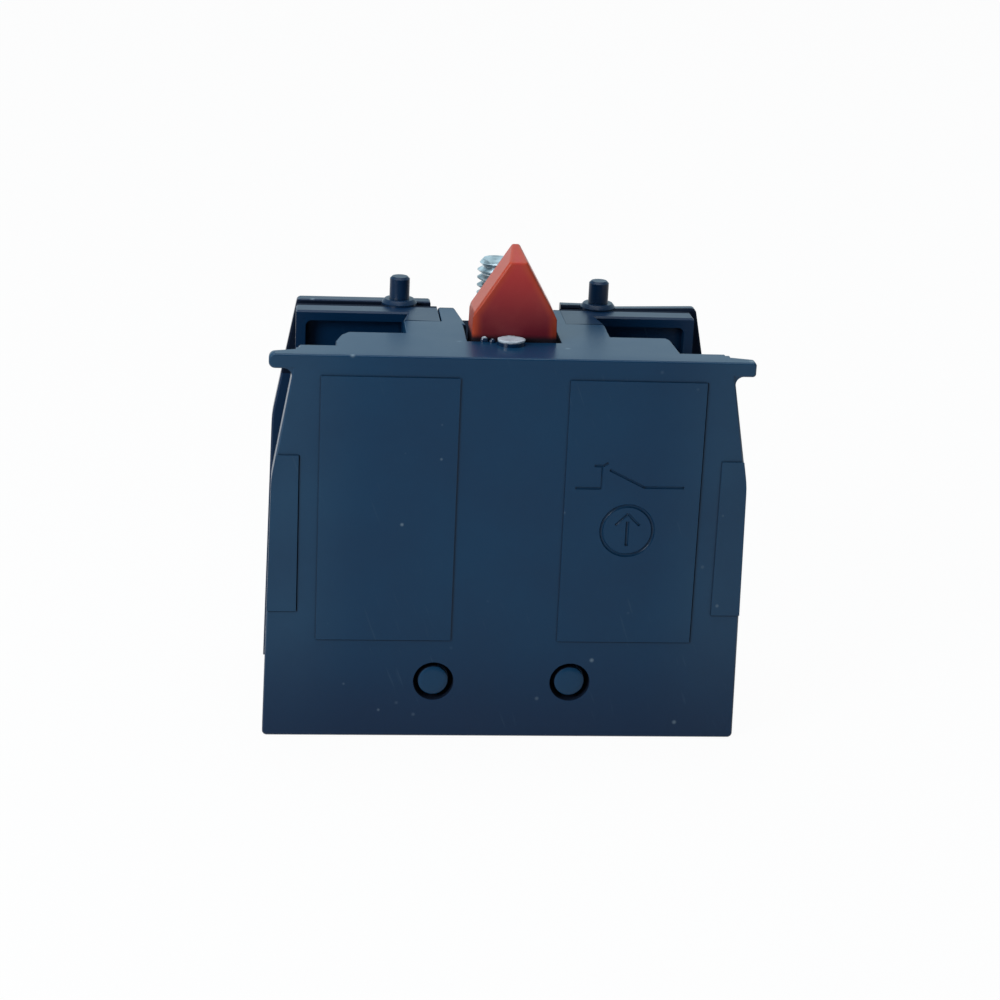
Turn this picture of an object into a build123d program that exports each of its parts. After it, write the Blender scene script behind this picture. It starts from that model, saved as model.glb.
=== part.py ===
from build123d import *
import os

os.makedirs("parts", exist_ok=True)

# A contact block of the break type for a panel push-button. Two dark mouldings hold a
# sprung plunger, a double-break bridge and two screw terminals. Millimetres, +Z up.
# The block stands on its base, its face looks along -Y, and X = 0 is its middle.

# Overall sizes of the mouldings
BASE_HALF = 15.05        # half width at the base
BASE_CORNER_R = 0.3      # bottom corners of the face plate
SIDE_LEAN = 0.35         # how far each side leans in up to its shoulder
NECK_IN = 1.4            # and from there up to the top
SHOULDER_HALF = BASE_HALF - SIDE_LEAN
NECK_HALF = SHOULDER_HALF - NECK_IN
SHOULDER_Z = 17.1
SHOULDER_R = 7.0
HEIGHT = 24.96           # base to mounting surface
BODY_DEPTH = 14.4        # plain face to back
PAD_RAISE = 0.12         # how far the pads stand out of the plain face
FACE_Y = -(BODY_DEPTH - PAD_RAISE) / 2
EDGE_CUT = 0.12          # softened edges of the mouldings
JOINT_GAP = 0.07         # hairline gap between the mouldings

# Rear moulding, from the back towards the face: plate, groove, wall
REAR_PLATE_T = 1.05
GROOVE_W = 0.75
WALL_T = 1.9
PLATE_FRONT = BODY_DEPTH - REAR_PLATE_T
WALL_BACK = PLATE_FRONT - GROOVE_W
WALL_FRONT = WALL_BACK - WALL_T
GROOVE_DEEP = 0.5
LIP_ENDS = (4.45, 4.15)  # inner ends of the rear plate's two lips
WALL_ENDS = (NECK_HALF - 0.05, NECK_HALF - 0.7)   # left and right end, from the middle
REAR_NECK_HALF = NECK_HALF - 0.15
REAR_CORNER_R = 0.3
RECESS_RIM = 0.62        # wall left at the recess's outer end
RECESS_TOP = 0.65
RECESS_BOTTOM_Z = 12.2
RECESS_DEEP = 1.0
RECESS_R = 0.4
FLOOR_Z = 3.4            # top of the base slab
SLAB_HALF = BASE_HALF - 0.55
SILL_T = 1.1
SILL_H = 2.0

# Centre block between the two terminal wells
BLOCK_HALF = 6.45
BLOCK_TAIL_HALF = BLOCK_HALF - 0.35
TONGUE_HALF = 4.05       # narrow roof tongue between the rear moulding's flanks
TONGUE_START = WALL_FRONT - 2.0
TONGUE_END = WALL_BACK - 0.3

# Face plate and the roof that is moulded on it
PLATE_T = 1.6
ROOF_T = 1.4
ROOF_Z = HEIGHT - ROOF_T
BAR_ENDS = (NECK_HALF + 1.65, NECK_HALF + 1.47)
BAR_T = 0.92
BAR_DEPTH = 1.2
BAR_END_R = (0.38, 0.2)
BAR_ROOT_R = 0.5
STRIP_HALF = NECK_HALF - 0.15
WING_HALF = STRIP_HALF - 2.28
WING_DEPTH = 5.6

# Outer edge of the roof's left and right half, front to back: half width and depth
ROOF_EDGES = (
    [
        (STRIP_HALF, 2.3),
        (WING_HALF, 2.3),
        (WING_HALF, 3.5),
        (WING_HALF - 0.32, 4.85),
        (WING_HALF - 0.82, WING_DEPTH),
    ],
    [
        (STRIP_HALF, 2.0),
        (WING_HALF - 0.51, 2.0),
        (WING_HALF - 0.67, 5.1),
        (WING_HALF - 0.89, WING_DEPTH),
    ],
)

# Raised pads on the face
LABEL_PAD_IN = 3.36
LABEL_PAD_OUT = NECK_HALF - 1.5
LABEL_PAD_Z = (6.59, 23.65)
GRIP_PAD_IN = SHOULDER_HALF - 1.65
GRIP_PAD_Z = (8.45, 18.6)

# Assembly pins of the rear moulding, in the face plate's holes
PIN_X = 4.33
PIN_Z = 3.78
PIN_R = 1.0
PIN_HOLE_R = 1.28
PIN_DOME = 0.35
PIN_SINK = 0.1           # how far the dome stays behind the face

# Locating pegs
PEG_X = 6.53
PEG_DEPTH = WALL_BACK + 0.4
PEG_R = 0.65
PEG_H = 1.9
PEG_TIP = 0.14
FLANGE_R = 1.15
FLANGE_RIM = 0.12
FLANGE_H = 0.45

# Captive fixing screw, between the plunger and the rear wall
SCREW_X = -0.3
SCREW_DEPTH = WALL_FRONT - 1.2
SCREW_R = 1.5
SCREW_TIP_Z = HEIGHT + 4.22
THREAD_Z = ROOF_Z + 0.1
SCREW_SEAT_Z = 4.3
SCREW_WAIST_R = 1.2
SCREW_HEAD_R = 2.6
SCREW_HEAD_T = 2.0
SCREW_DROP = 2.2         # how far the loose screw can sink
SCREW_TIP_CHAMFER = 0.3
FIXING_WASHER_T = 0.6
BORE_GAP = 0.1
NECK_GAP = 0.1
NECK_T = 2.0
HEAD_GAP = 0.2
HEAD_CUT = 0.3
SLOT_W = 0.8
SLOT_DEEP = 0.9

# Plunger
PLUNGER_X = 0.22         # the plunger sits a little to one side in its opening
PLUNGER_W = 5.42
PLUNGER_T = 2.95
PLUNGER_FRONT = SCREW_DEPTH - 5.5
PLUNGER_MID = PLUNGER_FRONT + PLUNGER_T / 2
HEAD_SHOULDER = 1.79     # head sizes, above the mounting surface
HEAD_RIDGE = 5.6
HEAD_RIDGE_DROP = 0.6
HEAD_RIDGE_W = 0.72
HEAD_EDGE_R = 0.22
TRAVEL = 4.3
GUIDE_GAP = 0.1
FRAME_LEDGE = 0.4        # frame stands out of the stem, front and back
FRAME_SEAT_GAP = 0.05    # under the roof, at rest
WINDOW_GAP = 0.1
CROSSBAR_T = 1.4
SPIGOT_H = 0.8

# Opening in the roof for the plunger and slot for the fixing screw
OPENING_GAP = 0.18
OPENING_BACK = SCREW_DEPTH - 1.5
SLOT_HALF = SCREW_R + 1.0  # room for the nut of the collar that is screwed on
SLOT_TAIL_HALF = 2.95

# Contact system, hung from the roof
BRIDGE_T = 0.6
BRIDGE_W = 1.8
BRIDGE_HALF = 5.2
BRIDGE_Z = ROOF_Z - 5.96  # underside of the bridge at rest
BRIDGE_TOP_Z = BRIDGE_Z + BRIDGE_T
LOST_MOTION = 1.45       # plunger travel before it takes the bridge along
TIP_X = 4.3
TIP_R = 0.85
BRIDGE_TIP_T = 0.5
FIXED_TIP_T = 0.6
FIXED_TIP_Z = BRIDGE_TOP_Z + BRIDGE_TIP_T
STRIP_T = 0.8
STRIP_W = 2.0
STRIP_END = 3.3
STRIP_Z = FIXED_TIP_Z + FIXED_TIP_T
CHAMBER_HALF = 5.5
CHAMBER_BACK_GAP = 0.1

# Springs, and the plunger's levels that they set
RETURN_R = 1.35          # mean coil radius
RETURN_WIRE = 0.32
RETURN_TURNS = 4
RETURN_ROOM = 6.6
CONTACT_R = 0.72
CONTACT_WIRE = 0.2
CONTACT_TURNS = 4
CONTACT_ROOM = 3.5
WINDOW_TOP_Z = BRIDGE_TOP_Z + LOST_MOTION
WINDOW_BOTTOM_Z = BRIDGE_Z - CONTACT_ROOM
GUIDE_TOP_Z = WINDOW_BOTTOM_Z + 0.3   # the lower chamber guides the plunger up to here
FRAME_BOTTOM_Z = WINDOW_BOTTOM_Z - CROSSBAR_T
CHAMBER_FLOOR_Z = FRAME_BOTTOM_Z - RETURN_ROOM

# Screw terminals, in the middle of their wells
TERMINAL_X = (BLOCK_HALF + SLAB_HALF - SILL_T) / 2
TERMINAL_DEPTH = WALL_FRONT - 3.1
TERMINAL_HEAD_Z = 4.4    # driver side of the screw head, screw backed out
TERMINAL_HEAD_R = 2.7
TERMINAL_HEAD_T = 2.0
TERMINAL_SHANK_R = 1.75
TERMINAL_LENGTH = 8.0
SPRING_WASHER_R = 2.6
SPRING_WASHER_T = 0.6
SPLIT_GAP = 0.3
SPLIT_ANGLE = 30
CLAMP_Z = TERMINAL_HEAD_Z + TERMINAL_HEAD_T + SPRING_WASHER_T
CLAMP_W = 5.4
CLAMP_DEPTH = 4.4
CLAMP_T = 0.8
GRIP_SPACING = 1.4
GRIP_GROOVE = 0.3
GRIP_ANGLE = 45
WIRE_GAP = 2.4
PLATE_Z = CLAMP_Z + CLAMP_T + WIRE_GAP
PLATE_METAL_T = 0.9
PLATE_OUT = SLAB_HALF - 2.0
PLATE_IN_DEPTH = TERMINAL_DEPTH - 3.0   # front edge of the terminal plate
PLATE_BITE = 0.4         # how far it sits in the rear wall's groove
COLLAR_R = 2.5
COLLAR_H = 1.2
THREAD_GAP = 0.05
HOLE_GAP = 0.2
ACCESS_R = 3.0


def behind(depth):
    """Y of a plane this far behind the plain face."""
    return FACE_Y + depth


def block(x, depth, z):
    """Box between pairs of X, depths behind the face, and Z."""
    size = (x[1] - x[0], depth[1] - depth[0], z[1] - z[0])
    middle = ((x[0] + x[1]) / 2, behind((depth[0] + depth[1]) / 2), (z[0] + z[1]) / 2)
    return Pos(*middle) * Box(*size)


def slab(outline, depth):
    """X-Z outline made solid between two depths behind the face."""
    return extrude(Plane.XZ.offset(-behind(depth[0])) * outline, depth[0] - depth[1])


def layer(points, z, left_points=None):
    """Outline of half width and depth on each side, made solid between two heights."""
    right = [(x, behind(depth)) for x, depth in points]
    left = [(-x, behind(depth)) for x, depth in reversed(left_points or points)]
    return extrude(Plane.XY.offset(z[0]) * Polygon(*right, *left, align=None), z[1] - z[0])


def rod(x, depth, radius, z):
    """Upright cylinder between two heights."""
    return Pos(x, behind(depth), (z[0] + z[1]) / 2) * Cylinder(radius, z[1] - z[0])


def both_sides(solid):
    """The solid and its mirror image about X = 0."""
    return solid + mirror(solid, Plane.YZ)


def plate_half(z):
    """Half width of the plates at a height above their shoulders."""
    share = (z - SHOULDER_Z) / (HEIGHT - SHOULDER_Z)
    return SHOULDER_HALF + (NECK_HALF - SHOULDER_HALF) * share


def plate_outline(neck_half=NECK_HALF):
    """Outline that the face plate and the rear plate share, apart from their necks."""
    right = [(BASE_HALF, 0), (SHOULDER_HALF, SHOULDER_Z), (neck_half, HEIGHT)]
    left = [(-x, z) for x, z in reversed(right)]
    outline = Polygon(*right, *left, align=None)
    shoulders = outline.vertices().filter_by_position(Axis.Y, SHOULDER_Z, SHOULDER_Z)
    return fillet(shoulders, SHOULDER_R)


def opening_edges():
    """Left and right edge of the plunger's opening in the roof."""
    half = PLUNGER_W / 2 + OPENING_GAP
    return (PLUNGER_X - half, PLUNGER_X + half)


def make_roof():
    """Roof over the mechanism: strip, wings and the tongue between the rear flanks."""
    tongue = [
        (BLOCK_HALF, WING_DEPTH),
        (BLOCK_HALF, TONGUE_START),
        (TONGUE_HALF, TONGUE_START),
        (TONGUE_HALF, TONGUE_END),
    ]
    left, right = ([(STRIP_HALF, 0)] + edge + tongue for edge in ROOF_EDGES)
    roof = layer(right, (ROOF_Z, HEIGHT), left)
    opening = block(opening_edges(), (PLUNGER_FRONT - GUIDE_GAP, OPENING_BACK), (ROOF_Z, HEIGHT))
    slot = layer([(SLOT_HALF, OPENING_BACK), (SLOT_TAIL_HALF, TONGUE_END)], (ROOF_Z, HEIGHT))
    roof -= opening + slot
    return chamfer(roof.faces().sort_by(Axis.Z)[-1].edges(), EDGE_CUT)


def make_bar():
    """Thin bar along the top edge, with rounded ends that overhang the plate."""
    left, right = BAR_ENDS
    front = Pos((right - left) / 2, HEIGHT - BAR_T / 2) * Rectangle(left + right, BAR_T)
    bar = slab(front, (0, BAR_DEPTH))
    for radius, end in zip(BAR_END_R, (0, -1)):
        bar = fillet(bar.edges().filter_by(Axis.Y).group_by(Axis.X)[end], radius)
    return chamfer(bar.faces().sort_by(Axis.Y)[0].edges(), EDGE_CUT)


def make_bar_roots():
    """Hollow roots between the bar's overhang and the plate's sides."""
    low = HEIGHT - BAR_T
    side = plate_half(low - BAR_ROOT_R)
    corner = Polygon(
        (side - BAR_ROOT_R, low - BAR_ROOT_R),
        (side, low - BAR_ROOT_R),
        (side + BAR_ROOT_R, low),
        (side - BAR_ROOT_R, low),
        align=None,
    )
    round_out = Pos(side + BAR_ROOT_R, low - BAR_ROOT_R) * Circle(BAR_ROOT_R)
    return both_sides(slab(corner - round_out, (EDGE_CUT, BAR_DEPTH)))


def make_label_pads():
    """Raised rectangles on the face."""
    middle = (LABEL_PAD_IN + LABEL_PAD_OUT) / 2
    width = LABEL_PAD_OUT - LABEL_PAD_IN
    low, high = LABEL_PAD_Z
    pad = Pos(middle, (low + high) / 2) * Rectangle(width, high - low)
    return both_sides(slab(pad, (-PAD_RAISE, 0)))


def make_grip_pads():
    """Raised pads along both sides of the face, cut to the plate's outline."""
    low, high = GRIP_PAD_Z
    strip = Pos(GRIP_PAD_IN + BASE_HALF, (low + high) / 2) * Rectangle(2 * BASE_HALF, high - low)
    return both_sides(slab(plate_outline() & strip, (-PAD_RAISE, 0)))


def make_front_shell():
    """Face plate with bar, pads, roof, pin holes and a rib that guides the plunger."""
    outline = plate_outline()
    outline = fillet(outline.vertices().group_by(Axis.Y)[0], BASE_CORNER_R)
    plate = slab(outline, (0, PLATE_T))
    plate = chamfer(plate.faces().sort_by(Axis.Y)[0].edges(), EDGE_CUT)
    shell = plate + make_roof() + make_bar() + make_bar_roots()
    shell += make_label_pads() + make_grip_pads()
    rib_x = (PLUNGER_X - PLUNGER_W / 4, PLUNGER_X + PLUNGER_W / 4)
    rib_front = PLUNGER_FRONT - FRAME_LEDGE - GUIDE_GAP
    rib_top = GUIDE_TOP_Z - GUIDE_GAP
    shell += block(rib_x, (PLATE_T, rib_front), (CHAMBER_FLOOR_Z + GUIDE_GAP, rib_top))
    for side in (-1, 1):
        hole = Pos(side * PIN_X, PIN_Z) * Circle(PIN_HOLE_R)
        shell -= slab(hole, (-PAD_RAISE, PLATE_T))
    return shell


def make_peg():
    """Locating peg on a domed flange, turned about its own axis."""
    profile = Polygon(
        (0, -FLANGE_RIM),
        (FLANGE_R, -FLANGE_RIM),
        (FLANGE_R, FLANGE_RIM),
        (PEG_R + FLANGE_RIM, FLANGE_H),
        (PEG_R, FLANGE_H + FLANGE_RIM),
        (PEG_R, PEG_H - PEG_TIP),
        (PEG_R - PEG_TIP, PEG_H),
        (0, PEG_H),
        align=None,
    )
    return revolve(Plane.XZ * profile, Axis.Z)


def make_rear_plate():
    """Rear plate with its groove and wall, and a low middle under the roof's tongue."""
    outline = plate_outline(REAR_NECK_HALF)
    outline = fillet(outline.vertices().group_by(Axis.Y)[-1], REAR_CORNER_R)
    shell = slab(outline, (PLATE_FRONT, BODY_DEPTH))
    left, right = WALL_ENDS
    groove = GROOVE_DEEP
    web = block((groove - left, right - groove), (WALL_BACK, PLATE_FRONT), (0, HEIGHT - groove))
    return shell + web + block((-left, right), (WALL_FRONT, WALL_BACK), (0, HEIGHT))


def make_wall_recess():
    """Hollow in the wall behind each terminal well, with rounded outer corners."""
    high = HEIGHT - RECESS_TOP - RECESS_BOTTOM_Z
    hollows = []
    for side, end in zip((-1, 1), WALL_ENDS):
        width = end - RECESS_RIM - BLOCK_HALF
        middle = Pos(side * (BLOCK_HALF + width / 2), RECESS_BOTTOM_Z + high / 2)
        outline = middle * Rectangle(width, high)
        corners = outline.vertices().group_by(Axis.X)[0 if side < 0 else -1]
        depth = (WALL_FRONT, WALL_FRONT + RECESS_DEEP)
        hollows.append(slab(fillet(corners, RECESS_R), depth))
    return hollows[0] + hollows[1]


def make_centre_block():
    """Block between the wells, with two flanks beside the roof's tongue."""
    body = [(BLOCK_HALF, PLATE_T), (BLOCK_HALF, TONGUE_START), (BLOCK_TAIL_HALF, WALL_FRONT)]
    flank_start = TONGUE_START + JOINT_GAP
    flank_in = TONGUE_HALF + JOINT_GAP
    block_low = layer(body, (FLOOR_Z, ROOF_Z))
    flanks = layer([(BLOCK_HALF, flank_start), (BLOCK_TAIL_HALF, WALL_FRONT)], (ROOF_Z, HEIGHT))
    tongue_room = block((-flank_in, flank_in), (flank_start, WALL_FRONT), (ROOF_Z, HEIGHT))
    return block_low + flanks - tongue_room


def make_chamber():
    """Room for the mechanism: a wide part for the bridge, a narrow one as the guide."""
    back = PLUNGER_FRONT + PLUNGER_T + FRAME_LEDGE + CHAMBER_BACK_GAP
    wide = block((-CHAMBER_HALF, CHAMBER_HALF), (PLATE_T, back), (GUIDE_TOP_Z, ROOF_Z))
    half = PLUNGER_W / 2 + GUIDE_GAP
    guide_x = (PLUNGER_X - half, PLUNGER_X + half)
    narrow = block(guide_x, (PLATE_T, back), (CHAMBER_FLOOR_Z, GUIDE_TOP_Z))
    strip_slot = block(
        (-BLOCK_HALF, BLOCK_HALF),
        (PLATE_T, PLUNGER_MID + STRIP_W / 2),
        (STRIP_Z, STRIP_Z + STRIP_T),
    )
    return wide + narrow + strip_slot


def make_screw_channel():
    """Stepped bore for the captive fixing screw, open towards the base."""
    washer_z = SCREW_SEAT_Z + FIXING_WASHER_T
    neck_z = THREAD_Z - SCREW_DROP - NECK_GAP
    channel = rod(SCREW_X, SCREW_DEPTH, SCREW_HEAD_R + HEAD_GAP, (0, washer_z))
    channel += rod(SCREW_X, SCREW_DEPTH, SCREW_WAIST_R + NECK_GAP, (washer_z, ROOF_Z))
    channel += rod(SCREW_X, SCREW_DEPTH, SCREW_R + BORE_GAP, (washer_z, neck_z - NECK_T))
    return channel + rod(SCREW_X, SCREW_DEPTH, SCREW_R + BORE_GAP, (neck_z, ROOF_Z))


def make_base():
    """Base slab with a low sill outside each wire entry."""
    slab_x = (-SLAB_HALF, SLAB_HALF)
    base = block(slab_x, (PLATE_T, PLATE_FRONT), (0, FLOOR_Z))
    sill = block((SLAB_HALF - SILL_T, SLAB_HALF), (PLATE_T, WALL_BACK), (FLOOR_Z, FLOOR_Z + SILL_H))
    return base + both_sides(sill)


def make_pins():
    """Two domed assembly pins that reach through the face plate."""
    pins = []
    for side in (-1, 1):
        shank = slab(Pos(side * PIN_X, PIN_Z) * Circle(PIN_R), (PIN_SINK, PLATE_T + PIN_R))
        front = shank.edges().sort_by(Axis.Y)[0]
        pins.append(chamfer(front, PIN_DOME))
    return pins


def top_rims(shell):
    """Edges on the mounting surface, apart from the hairline joint beside the tongue."""
    joint = TONGUE_HALF + 2 * JOINT_GAP
    edges = [e for e in shell.edges() if e.bounding_box().min.Z > HEIGHT - JOINT_GAP]
    outer = [e for e in edges if abs(e.center().X) > joint]
    return [e for e in outer if e.center().Y > behind(TONGUE_START) + 2 * JOINT_GAP]


def make_rear_shell():
    """Rear moulding: plate and wall, centre block, base, pegs and assembly pins."""
    shell = make_rear_plate() + make_base() + make_centre_block()
    shell -= make_wall_recess() + make_chamber() + make_screw_channel()
    flank_in = TONGUE_HALF + JOINT_GAP
    shell -= block((-flank_in, flank_in), (WALL_FRONT, PLATE_FRONT), (ROOF_Z, HEIGHT))
    shell -= block((-LIP_ENDS[0], LIP_ENDS[1]), (PLATE_FRONT, BODY_DEPTH), (ROOF_Z, HEIGHT))
    shell = chamfer(top_rims(shell), EDGE_CUT)
    bite = (WALL_FRONT, WALL_FRONT + PLATE_BITE)
    shell -= both_sides(block((BLOCK_TAIL_HALF, PLATE_OUT), bite, (PLATE_Z, PLATE_Z + PLATE_METAL_T)))
    for side in (-1, 1):
        shell -= rod(side * TERMINAL_X, TERMINAL_DEPTH, ACCESS_R, (0, FLOOR_Z))
        shell += Pos(side * PEG_X, behind(PEG_DEPTH), HEIGHT) * make_peg()
    for pin in make_pins():
        shell += pin
    seat_z = (CHAMBER_FLOOR_Z, CHAMBER_FLOOR_Z + SPIGOT_H)
    return shell + rod(PLUNGER_X, PLUNGER_MID, RETURN_R - RETURN_WIRE, seat_z)


def make_plunger():
    """Roof-shaped head and stem on a frame with a window for the bridge."""
    half = PLUNGER_W / 2
    shoulder_z = HEIGHT + HEAD_SHOULDER
    ridge_z = HEIGHT + HEAD_RIDGE
    frame_top_z = ROOF_Z - FRAME_SEAT_GAP
    outline = Polygon(
        (-half, FRAME_BOTTOM_Z),
        (half, FRAME_BOTTOM_Z),
        (half, shoulder_z),
        (HEAD_RIDGE_W / 2, ridge_z),
        (-HEAD_RIDGE_W / 2, ridge_z),
        (-half, shoulder_z),
        align=None,
    )
    back = PLUNGER_FRONT + PLUNGER_T
    plunger = slab(outline, (PLUNGER_FRONT, back))
    plunger -= make_ridge_cut(half, back, ridge_z)
    plunger = fillet(head_edges(plunger, shoulder_z), HEAD_EDGE_R)
    frame_depth = (PLUNGER_FRONT - FRAME_LEDGE, back + FRAME_LEDGE)
    frame = block((-half, half), frame_depth, (FRAME_BOTTOM_Z, frame_top_z))
    reach = BRIDGE_W / 2 + WINDOW_GAP
    window_depth = (PLUNGER_MID - reach, PLUNGER_MID + reach)
    plunger = plunger + frame - block((-half, half), window_depth, (WINDOW_BOTTOM_Z, WINDOW_TOP_Z))
    upper_spigot = (WINDOW_BOTTOM_Z, WINDOW_BOTTOM_Z + SPIGOT_H)
    plunger += rod(0, PLUNGER_MID, CONTACT_R - CONTACT_WIRE, upper_spigot)
    lower_spigot = (FRAME_BOTTOM_Z - SPIGOT_H, FRAME_BOTTOM_Z)
    plunger += rod(0, PLUNGER_MID, RETURN_R - RETURN_WIRE, lower_spigot)
    return Pos(PLUNGER_X, 0, 0) * plunger


def make_ridge_cut(half, back, ridge_z):
    """Wedge that lets the head's ridge fall away towards the front."""
    front_z = ridge_z - HEAD_RIDGE_DROP
    wedge = Polygon(
        (behind(PLUNGER_FRONT), front_z),
        (behind(back), ridge_z),
        (behind(PLUNGER_FRONT), ridge_z),
        align=None,
    )
    return extrude(Plane.YZ.offset(-half) * wedge, 2 * half)


def head_edges(plunger, shoulder_z):
    """Edges of the head above the shoulders, and the ones at the shoulders."""
    return [e for e in plunger.edges() if e.center().Z > shoulder_z - HEAD_EDGE_R]


def make_spring(x, depth, z, radius, wire, turns):
    """Compression spring: the wire's centre line stays half a wire inside both ends."""
    height = z[1] - z[0] - wire
    path = Helix(height / turns, height, radius)
    section = Plane(origin=path @ 0, z_dir=path % 0) * Rectangle(wire, wire)
    coil = sweep(section, path=path, is_frenet=True)
    return Pos(x, behind(depth), z[0] + wire / 2) * coil


def make_bridge():
    """Flat strip that joins both contacts, with a pressed seat for the spring."""
    outline = SlotOverall(2 * BRIDGE_HALF, BRIDGE_W)
    strip = extrude(outline, BRIDGE_T)
    return Pos(0, behind(PLUNGER_MID), BRIDGE_Z) * strip


def make_tip(side, z, thickness):
    """Round silver contact tip."""
    return rod(side * TIP_X, PLUNGER_MID, TIP_R, (z, z + thickness))


def make_fixed_contact():
    """Right-hand brass strip: terminal plate, riser and the arm that holds the tip."""
    top_z = STRIP_Z + STRIP_T
    depth = (PLUNGER_MID - STRIP_W / 2, PLUNGER_MID + STRIP_W / 2)
    riser_out = BLOCK_HALF + STRIP_T
    elbow = Polygon(
        (STRIP_END, STRIP_Z),
        (BLOCK_HALF, STRIP_Z),
        (BLOCK_HALF, PLATE_Z),
        (riser_out + PLATE_METAL_T, PLATE_Z),
        (riser_out + PLATE_METAL_T, PLATE_Z + PLATE_METAL_T),
        (riser_out, PLATE_Z + PLATE_METAL_T),
        (riser_out, top_z),
        (STRIP_END, top_z),
        align=None,
    )
    contact = slab(elbow, depth)
    plate_z = (PLATE_Z, PLATE_Z + PLATE_METAL_T)
    contact += block((BLOCK_HALF, PLATE_OUT), (PLATE_IN_DEPTH, WALL_FRONT + PLATE_BITE), plate_z)
    contact += rod(TERMINAL_X, TERMINAL_DEPTH, COLLAR_R, (PLATE_Z, PLATE_Z + PLATE_METAL_T + COLLAR_H))
    hole_z = (PLATE_Z, PLATE_Z + PLATE_METAL_T + COLLAR_H)
    return contact - rod(TERMINAL_X, TERMINAL_DEPTH, TERMINAL_SHANK_R + THREAD_GAP, hole_z)


def make_screw_head(radius, thickness):
    """Pan head with a driver slot; the head hangs down from Z = 0."""
    head = Pos(0, 0, -thickness / 2) * Cylinder(radius, thickness)
    head = chamfer(head.edges().sort_by(Axis.Z)[0], HEAD_CUT)
    return head - Pos(0, 0, -thickness + SLOT_DEEP / 2) * Box(2 * radius, SLOT_W, SLOT_DEEP)


def make_terminal_screw(side):
    """M3.5 screw, head towards the base."""
    seat_z = TERMINAL_HEAD_Z + TERMINAL_HEAD_T
    shank = Pos(0, 0, TERMINAL_LENGTH / 2) * Cylinder(TERMINAL_SHANK_R, TERMINAL_LENGTH)
    shank = chamfer(shank.edges().sort_by(Axis.Z)[-1], SCREW_TIP_CHAMFER)
    screw = shank + make_screw_head(TERMINAL_HEAD_R, TERMINAL_HEAD_T)
    return Pos(side * TERMINAL_X, behind(TERMINAL_DEPTH), seat_z) * screw


def make_spring_washer(side):
    """Split washer, cut through at one side."""
    low = TERMINAL_HEAD_Z + TERMINAL_HEAD_T
    ring = Cylinder(SPRING_WASHER_R, SPRING_WASHER_T)
    ring -= Cylinder(TERMINAL_SHANK_R + HOLE_GAP, SPRING_WASHER_T)
    split = Box(2 * SPRING_WASHER_R, SPLIT_GAP, 2 * SPRING_WASHER_R)
    ring -= Pos(SPRING_WASHER_R, 0, 0) * Rot(SPLIT_ANGLE, 0, 0) * split
    return Pos(side * TERMINAL_X, behind(TERMINAL_DEPTH), low + SPRING_WASHER_T / 2) * ring


def make_wire_clamp(side):
    """Square saddle plate with V grooves across the wire side for grip."""
    plate_z = (CLAMP_Z, CLAMP_Z + CLAMP_T)
    depth = (TERMINAL_DEPTH - CLAMP_DEPTH / 2, TERMINAL_DEPTH + CLAMP_DEPTH / 2)
    x = side * TERMINAL_X
    plate = block((x - CLAMP_W / 2, x + CLAMP_W / 2), depth, plate_z)
    for shift in (-GRIP_SPACING, 0, GRIP_SPACING):
        bottom = Pos(x, behind(TERMINAL_DEPTH) + shift, CLAMP_Z + CLAMP_T)
        plate -= bottom * Rot(GRIP_ANGLE, 0, 0) * Box(CLAMP_W, GRIP_GROOVE, GRIP_GROOVE)
    return plate - rod(x, TERMINAL_DEPTH, TERMINAL_SHANK_R + HOLE_GAP, plate_z)


def make_fixing_screw():
    """Captive M3 screw: head in the base, thin waist, thread only at the tip."""
    waist = rod(0, 0, SCREW_WAIST_R, (SCREW_SEAT_Z, THREAD_Z))
    thread = rod(0, 0, SCREW_R, (THREAD_Z, SCREW_TIP_Z))
    thread = chamfer(thread.edges().sort_by(Axis.Z)[-1], SCREW_TIP_CHAMFER)
    head = Pos(0, behind(0), SCREW_SEAT_Z) * make_screw_head(SCREW_HEAD_R, SCREW_HEAD_T)
    return Pos(SCREW_X, SCREW_DEPTH, 0) * (waist + thread + head)


def make_fixing_washer():
    """Plain washer between the fixing screw's head and the block."""
    z = (SCREW_SEAT_Z, SCREW_SEAT_Z + FIXING_WASHER_T)
    hole = rod(SCREW_X, SCREW_DEPTH, SCREW_WAIST_R + NECK_GAP, z)
    return rod(SCREW_X, SCREW_DEPTH, SCREW_HEAD_R, z) - hole


def save(solid, node):
    """Write one node of the block."""
    export_step(solid, f"parts/{node}.step")


save(make_front_shell(), "front_shell")
save(make_rear_shell(), "rear_shell")
save(make_plunger(), "plunger")
save(make_bridge(), "contact_bridge")
return_z = (CHAMBER_FLOOR_Z, FRAME_BOTTOM_Z)
contact_z = (WINDOW_BOTTOM_Z, BRIDGE_Z)
save(make_spring(PLUNGER_X, PLUNGER_MID, return_z, RETURN_R, RETURN_WIRE, RETURN_TURNS), "return_spring")
save(make_spring(PLUNGER_X, PLUNGER_MID, contact_z, CONTACT_R, CONTACT_WIRE, CONTACT_TURNS), "contact_spring")
save(make_fixing_screw(), "fixing_screw")
save(make_fixing_washer(), "fixing_washer")

right_contact = make_fixed_contact()
for name, side in (("left", -1), ("right", 1)):
    contact = right_contact if side > 0 else mirror(right_contact, Plane.YZ)
    save(contact, f"fixed_contact_{name}")
    save(make_tip(side, FIXED_TIP_Z, FIXED_TIP_T), f"fixed_tip_{name}")
    save(make_tip(side, BRIDGE_TOP_Z, BRIDGE_TIP_T), f"bridge_tip_{name}")
    save(make_terminal_screw(side), f"terminal_screw_{name}")
    save(make_spring_washer(side), f"spring_washer_{name}")
    save(make_wire_clamp(side), f"wire_clamp_{name}")
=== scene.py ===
import math
import random

import bmesh
import bpy
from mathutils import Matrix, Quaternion, Vector


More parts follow.
